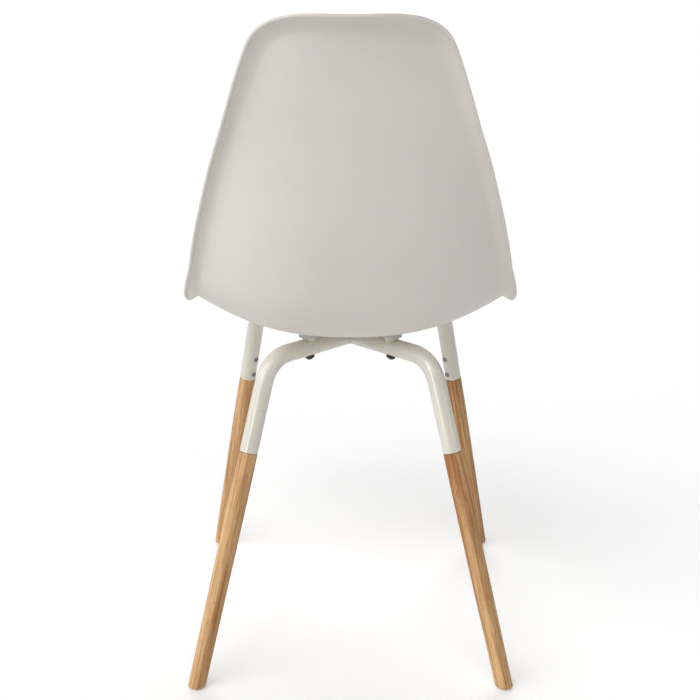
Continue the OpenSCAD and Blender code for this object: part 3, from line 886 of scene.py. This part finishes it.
class ShellForm:
    """The shell's underside as a formula of x, across, and q, along the middle line from its lowest point."""

    def __init__(self, sizes, low):
        self.sizes = sizes
        self.low = low
        self.fore = list(zip(sizes.fore_arcs, sizes.fore_turns))
        self.aft = list(zip(sizes.aft_arcs, sizes.aft_turns))
        self.front = -sum(sizes.fore_arcs)
        self.top = sum(sizes.aft_arcs)

    def spine(self, q):
        """y, z and slope of the middle line."""
        way = -1 if q < 0 else 1
        along, up, slope = walk(abs(q), self.fore if q < 0 else self.aft)
        return self.low.y + way * along, self.low.z + up, way * slope

    def rise(self, q):
        """How far the sides stand above the middle."""
        s = self.sizes
        if q < s.waist_at:
            share = ease((q - self.front) / (s.waist_at - self.front))
            return s.rise_front + (s.rise_waist - s.rise_front) * share
        share = ease((q - s.waist_at) / (self.top - s.waist_at))
        return s.rise_waist + (s.rise_top - s.rise_waist) * share

    def plain_width(self, q):
        """Half the width before the corners are rounded."""
        s = self.sizes
        if q > -s.widest_at:
            share = (q + s.widest_at) / (self.top + s.widest_at)
            return s.half_width - (s.half_width - s.half_top) * share**s.taper_power
        share = (-q - s.widest_at) / (-self.front - s.widest_at)
        return s.half_width - (s.half_width - s.half_front) * share**2

    def corner_cut(self, size, share):
        """What a rounded corner takes off the half width."""
        if share <= 0:
            return 0.0
        power = self.sizes.corner_power
        return size * (1 - max(0.0, 1 - min(share, 1.0) ** power) ** (1 / power))

    def width(self, q):
        """Half the width inside the rim."""
        s = self.sizes
        top = self.corner_cut(s.top_corner[0], (q - self.top + s.top_corner[1]) / s.top_corner[1])
        front = self.corner_cut(s.front_corner[0], (s.front_corner[1] + self.front - q) / s.front_corner[1])
        return self.plain_width(q) - top - front

    def skin(self, x, q):
        """A point of the underside."""
        y, z, slope = self.spine(q)
        lift = self.rise(q) * (abs(x) / self.plain_width(q)) ** self.sizes.dish_power
        return Vector((x, y - math.sin(slope) * lift, z + math.cos(slope) * lift))

    def inward(self, x, q):
        """The direction from the underside into the wall."""
        step = 0.0005
        across = self.skin(x + step, q) - self.skin(x - step, q)
        along = self.skin(x, min(q + step, self.top)) - self.skin(x, max(q - step, self.front))
        return across.cross(along).normalized()

    def corner_steps(self, corner):
        """How far into a rounded corner its rows lie, evenly spaced round its curve."""
        fine, n = 2000, self.sizes.corner_rows
        power = 2 / self.sizes.corner_power
        turns = [math.pi / 2 * i / fine for i in range(fine + 1)]
        curve = [(corner[0] * (1 - math.cos(a) ** power), corner[1] * math.sin(a) ** power) for a in turns]
        travelled = [0.0]
        for here, there in zip(curve, curve[1:]):
            travelled.append(travelled[-1] + math.dist(here, there))
        steps = [curve[bisect_left(travelled, travelled[-1] * i / n)][1] for i in range(1, n)]
        return steps + [corner[1]]

    def rows(self):
        """Where the rows of points lie along the middle line, closer together in the corners."""
        s = self.sizes
        front, top = self.front + s.front_corner[1], self.top - s.top_corner[1]
        rows = [front - step for step in reversed(self.corner_steps(s.front_corner))]
        rows += [front + (top - front) * i / s.side_rows for i in range(s.side_rows + 1)]
        rows += [top + step for step in self.corner_steps(s.top_corner)]
        return rows

    def columns(self):
        """Shares of the half width at which the points lie, closer together at the sides."""
        n = self.sizes.columns
        return [t * (1.25 - 0.25 * t * t) for t in (2 * i / n - 1 for i in range(n + 1))]

    def rim_share(self, values, q):
        """A rim size at a place: its value on the sides, blended to those at the top and the front."""
        top_span, front_span = self.sizes.rim_blend
        top = ease((q - self.top + top_span) / top_span)
        front = ease((front_span + self.front - q) / front_span)
        return values[0] + (values[1] - values[0]) * top + (values[2] - values[0]) * front

    def rim_section(self, point, normal, out, q):
        """The rim's section from the underside's edge round its lip and back to the upper side's edge."""
        s = self.sizes
        radius = self.rim_share(s.rim_radius, q)
        turn = self.rim_share(s.rim_turn, q)

        def spoke(a):
            return normal * math.cos(a) + out * math.sin(a)

        def tangent(a):
            return out * math.cos(a) - normal * math.sin(a)

        first = point - normal * radius
        second = first + spoke(turn) * (radius - s.edge_radius) + tangent(turn) * s.rim_flat
        last = turn + s.edge_turn
        lip = second + spoke(last) * (s.edge_radius + s.wall / 2)
        rim_angles = [turn * i / s.rim_steps for i in range(1, s.rim_steps + 1)]
        edge_angles = [turn + s.edge_turn * i / s.edge_steps for i in range(s.edge_steps + 1)]
        section = [first + spoke(a) * radius for a in rim_angles]
        section += [second + spoke(a) * s.edge_radius for a in edge_angles]
        for i in range(1, s.lip_steps):
            a = math.pi * i / s.lip_steps - math.pi / 2
            section.append(lip + (spoke(last) * math.sin(a) + tangent(last) * math.cos(a)) * (s.wall / 2))
        section += [second + spoke(a) * (s.edge_radius + s.wall) for a in reversed(edge_angles)]
        section += [first + spoke(a) * (radius + s.wall) for a in reversed(rim_angles)]
        return section

    def mesh(self, name):
        """The whole shell as a closed mesh: two skins and the rim round them."""
        rows, columns = self.rows(), self.columns()
        across = len(columns)
        under, ways, along = [], [], []
        for q in rows:
            half = self.width(q)
            for t in columns:
                under.append(self.skin(t * half, q))
                ways.append(self.inward(t * half, q))
                along.append(q)
        upper = [p + self.sizes.wall * n for p, n in zip(under, ways)]
        last = len(rows) - 1
        edge = [j * across + across - 1 for j in range(last + 1)]
        edge += [last * across + i for i in range(across - 2, -1, -1)]
        edge += [j * across for j in range(last - 1, -1, -1)]
        edge += list(range(1, across - 1))
        loop = len(edge)
        points = under + upper
        skin_size = len(under)
        rings = []
        for k in range(loop):
            here, before, after = edge[k], edge[k - 1], edge[(k + 1) % loop]
            out = (under[after] - under[before]).cross(ways[here]).normalized()
            section = self.rim_section(under[here], ways[here], out, along[here])
            start = len(points)
            points += section
            rings.append([here, *range(start, start + len(section)), skin_size + here])
        faces = []
        for j in range(last):
            for i in range(across - 1):
                a = j * across + i
                b = a + across
                faces.append((a, b, b + 1, a + 1))
                faces.append((skin_size + a, skin_size + a + 1, skin_size + b + 1, skin_size + b))
        for k in range(loop):
            here, after = rings[k], rings[(k + 1) % loop]
            for m in range(len(here) - 1):
                faces.append((here[m], after[m], after[m + 1], here[m + 1]))
        return mesh_from(name, points, faces)


def shell_form():
    """The shell's formula, placed over the crossing of the tubes."""
    s = settings()
    low = crossing() + Vector((0, s.shell.low_y, s.tubes.tube_od / 2 + s.shell.clearance))
    return ShellForm(s.shell, low)


def bolt_hole():
    """The diameter of the holes for the seat bolts."""
    fixings = settings().fixings
    return fixings.bolt_d + fixings.bolt_play


def pad_top():
    """The height of the saddle pads' upper face."""
    s = settings()
    return crossing().z + s.tubes.tube_od / 2 + s.fixings.pad_rise


class CHAIR_OT_seat_shell(bpy.types.Operator):
    """Builds the moulded shell with its bosses"""

    bl_idname = "chair.seat_shell"
    bl_label = "Seat Shell"

    def execute(self, context):
        s = settings()
        form = shell_form()
        shell = new_object("moulded_shell", form.mesh("moulded_shell"))
        for corner in CORNERS:
            place = arm_matrix(corner) @ Vector((bolt_reach(corner), 0, pad_top()))
            at = Matrix.Translation(place)
            height = form.skin(place.x, place.y - form.low.y).z + s.shell.wall / 2 - place.z
            combine(shell, rod("boss", s.shell.boss_d, 0, height, 48, at), "UNION")
            pocket = rod("pocket", s.fixings.insert_d, -0.001, s.fixings.insert_h, 48, at)
            combine(shell, pocket, "DIFFERENCE")
        shade(shell, 40)
        material = moulded_plastic("Moulded plastic", s.finishes.shell, 0.46, 0.00003)
        finish_piece(shell, material, ["seat_shell"])
        return {"FINISHED"}


# ---------------------------------------------------------------- the frame


def screw_matrices(corner):
    """The places of a corner's two screws: z out of the tube's inner side, origin on its axis."""
    s = settings()
    rows = (s.fixings.screw_first, s.fixings.screw_first + s.fixings.screw_pitch)
    facing = Matrix.Rotation(-math.pi / 2, 4, "Y")
    return [
        leg_matrix(corner) @ Matrix.Translation((0, 0, up - drop(corner))) @ facing for up in rows
    ]


class CHAIR_OT_bent_tubes(bpy.types.Operator):
    """Builds the four bent tubes"""

    bl_idname = "chair.bent_tubes"
    bl_label = "Bent Tubes"

    def execute(self, context):
        s = settings()
        sizes = s.tubes
        material = powder_coat("Cream powder coat", s.finishes.lacquer)
        tree = bent_tube_tree()
        for corner in CORNERS:
            tube = new_object("bent_tube_" + corner, bpy.data.meshes.new("bent_tube_" + corner))
            values = {
                "Reach": reach(corner),
                "Height": crossing().z,
                "Splay": splay(corner),
                "Drop": drop(corner),
                "Radius": sizes.tube_od / 2,
                "Bend Radius": sizes.bend_radius,
                "Mitre Gap": sizes.weld_gap / math.sqrt(2),
                "Mitre Length": 2 * sizes.tube_od,
                "Ring Step": sizes.ring_step,
                "Sides": sizes.sides,
                "Material": material,
            }
            grow(tube, tree, values)
            settle(tube)
            wall = tube.modifiers.new("wall", "SOLIDIFY")
            wall.thickness = sizes.tube_wall
            wall.offset = -1
            edges = tube.modifiers.new("edges", "BEVEL")
            edges.width = sizes.end_round
            edges.segments = 3
            edges.limit_method = "ANGLE"
            edges.angle_limit = math.radians(50)
            settle(tube)
            tube.data.transform(arm_matrix(corner))
            bolt = arm_matrix(corner) @ Matrix.Translation((bolt_reach(corner), 0, crossing().z))
            hole = rod("hole", bolt_hole(), -sizes.tube_od, sizes.tube_od, 32, bolt)
            combine(tube, hole, "DIFFERENCE")
            for place in screw_matrices(corner):
                hole = rod("hole", s.fixings.screw_d + s.fixings.screw_play, 0, sizes.tube_od, 24, place)
                combine(tube, hole, "DIFFERENCE")
            shade(tube, 38)
            finish_piece(tube, material, ["tube_" + corner])
        return {"FINISHED"}


class CHAIR_OT_weld(bpy.types.Operator):
    """Builds the weld beads over the mitre and coats the weld between the tubes"""

    bl_idname = "chair.weld"
    bl_label = "Weld"

    def execute(self, context):
        s = settings()
        material = powder_coat("Cream powder coat on the weld", s.finishes.lacquer)
        beads = new_object("weld_beads", bpy.data.meshes.new("weld_beads"))
        values = {
            "Crossing": crossing(),
            "Tube Radius": s.tubes.tube_od / 2 - 0.0002,
            "Bead Radius": s.tubes.bead_radius,
            "Ripple": 0.0003,
            "Seed": 3.0,
            "Material": material,
        }
        grow(beads, weld_bead_tree(), values)
        settle(beads)
        outwards(beads.data)
        shade(beads, 60)
        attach(beads, BODY)
        dress_node("centre_weld", material)
        return {"FINISHED"}


def dress_node(node, material):
    """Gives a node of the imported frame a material."""
    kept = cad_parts[node]
    kept.data.materials.clear()
    kept.data.materials.append(material)


# ---------------------------------------------------------------- the legs


def leg_path(corner):
    """The turned outline of a leg, from the top of its spigot down past the floor."""
    s = settings()
    sizes = s.legs
    joint = -drop(corner)
    foot = -crossing().z / math.cos(splay(corner))
    spigot_r = s.tubes.tube_od / 2 - s.tubes.tube_wall - sizes.spigot_play / 2
    top_r, belly_r, foot_r = sizes.top_d / 2, sizes.belly_d / 2, sizes.foot_d / 2
    head = [
        (0, joint + sizes.spigot),
        (spigot_r, joint + sizes.spigot, 0.001),
        (spigot_r, joint - sizes.joint_gap),
        (top_r, joint - sizes.joint_gap, sizes.joint_round),
        (top_r, joint - sizes.joint_gap - 2 * sizes.joint_round),
    ]
    path = rounded(head)
    shank = joint - foot
    rings = round(shank / sizes.ring_step)
    for i in range(1, rings + 1):
        down = shank * i / rings
        if down < sizes.belly_at:
            r = top_r + (belly_r - top_r) * math.sin(math.pi / 2 * down / sizes.belly_at)
        else:
            share = (down - sizes.belly_at) / (shank - sizes.belly_at)
            r = belly_r - (belly_r - foot_r) * share**1.5
        path.append(Vector((r, joint - down)))
    path += [Vector((foot_r, foot - sizes.foot_d)), Vector((0, foot - sizes.foot_d))]
    return path


def cut_foot(mesh, height, rounding):
    """Cuts a leg level above the floor and rounds the cut edge."""
    shape = bmesh.new()
    shape.from_mesh(mesh)
    everything = shape.verts[:] + shape.edges[:] + shape.faces[:]
    cut = bmesh.ops.bisect_plane(
        shape, geom=everything, plane_co=(0, 0, height), plane_no=(0, 0, -1), clear_outer=True
    )
    rim = [e for e in cut["geom_cut"] if isinstance(e, bmesh.types.BMEdge)]
    bmesh.ops.contextual_create(shape, geom=rim)
    bmesh.ops.bevel(
        shape, geom=[e for e in rim if e.is_valid], offset=rounding, segments=4, profile=0.6, affect="EDGES"
    )
    bmesh.ops.recalc_face_normals(shape, faces=shape.faces)
    shape.to_mesh(mesh)
    shape.free()


# How dark the wood of each leg is: partly the wood's own tone, partly painted shade that darkens the legs on
# the sitter's right, away from the key light
LEG_TONE_AND_SHADE = {"rear_left": -0.10, "rear_right": 0.22, "front_left": 0.10, "front_right": 0.18}


class CHAIR_OT_wooden_legs(bpy.types.Operator):
    """Builds the four wooden legs"""

    bl_idname = "chair.wooden_legs"
    bl_label = "Wooden Legs"

    def execute(self, context):
        s = settings()
        material = beech("Beech", s.finishes)
        for number_of_leg, corner in enumerate(CORNERS):
            leg = turned("wooden_leg_" + corner, leg_path(corner), s.legs.sides)
            place = leg_matrix(corner)
            leg.data.transform(place)
            cut_foot(leg.data, foot_height(corner), s.legs.foot_round)
            shade(leg, 35)
            to_leg = place.inverted()
            spin = Matrix.Rotation(1.7 * number_of_leg, 4, "Z")
            plank = Vector((0.23, 0.11, 0.4)) * number_of_leg
            # The leg's tone, partly painted shade
            tone = leg.data.attributes.new("tone", "FLOAT", "POINT")
            tone.data.foreach_set("value", [LEG_TONE_AND_SHADE[corner]] * len(leg.data.vertices))
            grain = leg.data.attributes.new("grain", "FLOAT_VECTOR", "POINT")
            for vertex, item in zip(leg.data.vertices, grain.data):
                item.vector = spin @ (to_leg @ vertex.co) + plank
            finish_piece(leg, material, ["leg_" + corner])
        return {"FINISHED"}


# ---------------------------------------------------------------- screws, bolts, pads and glides


def slot_tool(name, size, top, depth, turn):
    """A cutting tool for one slot of a cross recess. It narrows downwards."""
    wide, narrow = Vector((size / 2, size * 0.12)), Vector((size * 0.28, size * 0.08))
    points = [
        (x * half.x, y * half.y, z)
        for half, z in ((narrow, top - depth), (wide, top + depth))
        for x, y in ((-1, -1), (1, -1), (1, 1), (-1, 1))
    ]
    sides = [(i, (i + 1) % 4, (i + 1) % 4 + 4, i + 4) for i in range(4)]
    mesh = mesh_from(name, points, [(3, 2, 1, 0), (4, 5, 6, 7), *sides])
    mesh.transform(Matrix.Rotation(turn, 4, "Z"))
    return new_object(name, mesh)


class CHAIR_OT_leg_screws(bpy.types.Operator):
    """Builds the screws that hold the legs in the tubes"""

    bl_idname = "chair.leg_screws"
    bl_label = "Leg Screws"

    def execute(self, context):
        s = settings()
        sizes = s.fixings
        surface = s.tubes.tube_od / 2
        head_r, head_h, thread_r = sizes.screw_head_d / 2, sizes.screw_head_h, sizes.screw_d / 2
        seat = surface - sizes.screw_sink
        outline = [
            (0, surface - sizes.screw_length),
            (thread_r * 0.4, surface - sizes.screw_length + 0.0004),
            (thread_r, surface - sizes.screw_length + sizes.screw_point),
            (thread_r, seat),
            (head_r, seat, 0.0002),
            (head_r, surface + head_h * 0.30, 0.0006),
            (head_r * 0.80, surface + head_h * 0.72, 0.003),
            (head_r * 0.42, surface + head_h),
            (0, surface + head_h),
        ]
        screw = turned("screw", rounded(outline), 40)
        for turn in (0, math.pi / 2):
            combine(screw, slot_tool("slot", head_r * 1.15, surface + head_h, sizes.recess, turn), "DIFFERENCE")
        shade(screw, 30)
        matrices = [m for corner in CORNERS for m in screw_matrices(corner)]
        # The screws' zinc is darkened as painted shade round their heads
        material = plated_steel("Zinc plated steel", s.finishes.zinc_and_painted_shade, 0.30)
        screws = set_out("leg_screws", screw, matrices, material, spin=math.pi, seed=5)
        finish_piece(screws, material, ["leg_screws_" + c for c in CORNERS])
        return {"FINISHED"}


def fixing_matrices(height):
    """The places on the arms' centre lines where the shell is bolted, at a height."""
    return [arm_matrix(c) @ Matrix.Translation((bolt_reach(c), 0, height)) for c in CORNERS]


def tube_cutter(height):
    """A cylinder of the tube's size along x, to seat a piece on the tube."""
    sizes = settings().tubes
    lying = Matrix.Translation((0, 0, height)) @ Matrix.Rotation(math.pi / 2, 4, "Y")
    return rod("tube_seat", sizes.tube_od, -0.03, 0.03, 96, lying)


class CHAIR_OT_shell_fixings(bpy.types.Operator):
    """Builds the saddle pads, washers and seat bolts, and gives the threaded inserts their brass"""

    bl_idname = "chair.shell_fixings"
    bl_label = "Shell Fixings"

    def execute(self, context):
        self.saddle_pads()
        self.washers()
        self.seat_bolts()
        self.inserts()
        return {"FINISHED"}

    def saddle_pads(self):
        """The moulded pads between the tubes and the shell."""
        s = settings()
        sizes = s.fixings
        bore = bolt_hole() / 2
        crown = s.tubes.tube_od / 2
        foot, top = crown - sizes.pad_wrap, crown + sizes.pad_rise
        outline = [
            (bore, foot),
            (sizes.pad_foot_d / 2, foot),
            (sizes.pad_foot_d / 2 + 0.001, top - 0.0022, 0.0009),
            (sizes.pad_top_d / 2 - sizes.pad_round, top - 0.0017, 0.0006),
            (sizes.pad_top_d / 2, top, sizes.pad_round),
            (bore, top),
        ]
        pad = turned("pad", rounded(outline), 72, ring=True)
        combine(pad, tube_cutter(0), "DIFFERENCE")
        shade(pad, 35)
        material = moulded_plastic("Pad plastic", s.finishes.pad, 0.5, 0.00002)
        pads = set_out("saddle_pads", pad, fixing_matrices(crossing().z), material)
        finish_piece(pads, material, ["saddle_pad_" + c for c in CORNERS])

    def washers(self):
        """The black washers under the tubes."""
        s = settings()
        sizes = s.fixings
        bore = bolt_hole() / 2
        under = -s.tubes.tube_od / 2
        outline = [
            (bore, under - sizes.washer_h),
            (sizes.washer_d / 2, under - sizes.washer_h, 0.0005),
            (sizes.washer_d / 2, under + sizes.washer_wrap),
            (bore, under + sizes.washer_wrap),
        ]
        washer = turned("washer", rounded(outline), 56, ring=True)
        combine(washer, tube_cutter(0), "DIFFERENCE")
        shade(washer, 35)
        material = black_rubber("Black rubber", s.finishes.rubber)
        washers = set_out("bolt_washers", washer, fixing_matrices(crossing().z), material)
        finish_piece(washers, material, ["bolt_washer_" + c for c in CORNERS])

    def seat_bolts(self):
        """The domed bolts, with their heads under the washers."""
        s = settings()
        sizes = s.fixings
        under = crossing().z - s.tubes.tube_od / 2 - sizes.washer_h
        tip = pad_top() + sizes.insert_h - sizes.bolt_short - under
        head_r, head_h, bolt_r = sizes.bolt_head_d / 2, sizes.bolt_head_h, sizes.bolt_d / 2
        outline = [
            (0, tip),
            (bolt_r - sizes.bolt_chamfer, tip),
            (bolt_r, tip - sizes.bolt_chamfer),
            (bolt_r, 0),
            (head_r, 0, 0.0003),
            (head_r, -head_h * 0.36, 0.0012),
            (head_r * 0.62, -head_h, 0.003),
            (0, -head_h),
        ]
        bolt = turned("bolt", rounded(outline), 48)
        socket = rod("socket", sizes.bolt_d * 0.72, -head_h - 0.001, -head_h * 0.35, 6, Matrix.Identity(4))
        combine(bolt, socket, "DIFFERENCE")
        shade(bolt, 30)
        material = plated_steel("Dark plated steel", s.finishes.dark_zinc, 0.34)
        bolts = set_out("seat_bolts", bolt, fixing_matrices(under), material, spin=math.pi, seed=2)
        finish_piece(bolts, material, ["seat_bolt_" + c for c in CORNERS])

    def inserts(self):
        """The threaded inserts in the shell's bosses keep their shape and get turned brass."""
        s = settings()
        material = plated_steel("Turned brass", s.finishes.brass, 0.28)
        for corner in CORNERS:
            dress_node("threaded_insert_" + corner, material)


class CHAIR_OT_glides(bpy.types.Operator):
    """Finishes the floor glides"""

    bl_idname = "chair.glides"
    bl_label = "Floor Glides"

    def execute(self, context):
        material = moulded_plastic("Glide nylon", settings().finishes.nylon, 0.5, 0.00002)
        for corner in CORNERS:
            dress_node("glide_" + corner, material)
        return {"FINISHED"}


# ---------------------------------------------------------------- stage


# Name, heading from the X axis, height above level, strength
SOFT_LIGHTS = (
    ("key", 40, 42, 1.4),
    ("left_side", 0, 12, 1.05),
    ("right_side", 180, 12, 0.35),
    ("rear", 90, 42, 0.88),
    ("front", 270, 40, 1.5),
)
# Name, heading from the X axis, width
STRIPS = (("left_strip", 55, 0.30), ("right_strip", 142, 0.12))


class CHAIR_OT_stage(bpy.types.Operator):
    """Sets up the floor, the light and the camera"""

    bl_idname = "chair.stage"
    bl_label = "Stage"

    def execute(self, context):
        self.camera(context.scene)
        self.light(context.scene)
        self.floor()
        return {"FINISHED"}

    def camera(self, scene):
        """The camera stands straight behind the chair and looks down a little."""
        s = settings().stage
        data = bpy.data.cameras.new("camera")
        data.sensor_width = 36.0
        data.lens = s.lens
        camera = new_object("camera", data)
        data.shift_x = s.camera_shift
        camera.location = (0, s.camera_back, s.camera_height)
        camera.rotation_euler = Euler((math.pi / 2 - s.camera_tilt, 0, math.pi), "XYZ")
        scene.camera = camera

    def light(self, scene):
        """Large soft lights round the chair, and two narrow strips for the gloss of the tubes."""
        s = settings().stage
        scene.view_settings.view_transform = "Standard"
        world = bpy.data.worlds.new("studio")
        world.use_nodes = True
        tree = world.node_tree
        tree.nodes.clear()
        path = put(tree, "ShaderNodeLightPath")
        seen = put(
            tree,
            "ShaderNodeBackground",
            {"Color": (1, 1, 1, 1), "Strength": path.outputs["Is Camera Ray"]},
        )
        put(tree, "ShaderNodeOutputWorld", {"Surface": seen.outputs[0]})
        scene.world = world
        for name, heading, height, strength in SOFT_LIGHTS:
            self.sun(name, heading, height, strength * s.light, s.softness)
        for name, heading, width in STRIPS:
            self.strip(name, math.radians(heading), width)

    def sun(self, name, heading, height, strength, width):
        """A light from far off. The heading is from the X axis, in degrees, and the height above level."""
        data = bpy.data.lights.new(name, "SUN")
        data.energy = strength
        data.angle = width
        sun = new_object(name, data)
        turn, rise = math.radians(heading), math.radians(height)
        level = math.cos(rise)
        to_sun = Vector((level * math.cos(turn), level * math.sin(turn), math.sin(rise)))
        sun.rotation_euler = to_sun.to_track_quat("Z", "Y").to_euler()

    def strip(self, name, heading, width):
        """An upright strip of light that is seen only as a sheen on the tubes."""
        s = settings().stage
        data = bpy.data.lights.new(name, "AREA")
        data.shape = "RECTANGLE"
        data.size, data.size_y = width, s.strip_height
        data.energy = s.shine * width
        strip = new_object(name, data)
        out = Vector((math.cos(heading), math.sin(heading), 0))
        strip.location = out * s.strip_distance + Vector((0, 0, s.strip_height / 2))
        strip.rotation_euler = out.to_track_quat("Z", "Y").to_euler()
        strip.visible_camera = False
        strip.visible_diffuse = False

    def floor(self):
        """A large pale floor."""
        s = settings().stage
        half = 40.0
        mesh = mesh_from(
            "floor", [(-half, -half, 0), (half, -half, 0), (half, half, 0), (-half, half, 0)], [(0, 1, 2, 3)]
        )
        floor = new_object("floor", mesh)
        material, tree, shader, place = new_material("Pale floor")
        tint = mixed(tree, noise(tree, place, 1.5, 3.0), scaled(s.floor, 0.985), scaled(s.floor, 1.01))
        tree.links.new(tint, shader.inputs["Base Color"])
        shader.inputs["Roughness"].default_value = 0.7
        shader.inputs["Specular IOR Level"].default_value = 0.2
        shader.inputs["Emission Color"].default_value = (1, 1, 1, 1)
        seen = put(tree, "ShaderNodeLightPath").outputs["Is Camera Ray"]
        tree.links.new(maths(tree, "MULTIPLY", seen, s.floor_glow), shader.inputs["Emission Strength"])
        floor.data.materials.append(material)


class CHAIR_PT_build(bpy.types.Panel):
    """Lists the chair's pieces in the sidebar"""

    bl_label = "Dining Chair"
    bl_idname = "CHAIR_PT_build"
    bl_space_type = "VIEW_3D"
    bl_region_type = "UI"
    bl_category = "Chair"

    def draw(self, context):
        for step in STEPS:
            self.layout.operator(step.bl_idname)


STEPS = (
    CHAIR_OT_stage,
    CHAIR_OT_seat_shell,
    CHAIR_OT_bent_tubes,
    CHAIR_OT_weld,
    CHAIR_OT_wooden_legs,
    CHAIR_OT_leg_screws,
    CHAIR_OT_shell_fixings,
    CHAIR_OT_glides,
)
GROUPS = (ShellSizes, FrameSizes, LegSizes, FixingSizes, Finishes, StageSizes, ChairSettings)
CLASSES = (*GROUPS, *STEPS, CHAIR_PT_build)


def register():
    for cls in CLASSES:
        bpy.utils.register_class(cls)
    bpy.types.Scene.chair_settings = PointerProperty(type=ChairSettings)


def unregister():
    del bpy.types.Scene.chair_settings
    for cls in reversed(CLASSES):
        bpy.utils.unregister_class(cls)


def main():
    register()
    bpy.ops.chair.stage()
    bpy.ops.chair.seat_shell()
    bpy.ops.chair.bent_tubes()
    bpy.ops.chair.weld()
    bpy.ops.chair.wooden_legs()
    bpy.ops.chair.leg_screws()
    bpy.ops.chair.shell_fixings()
    bpy.ops.chair.glides()


if __name__ == "__main__":
    main()
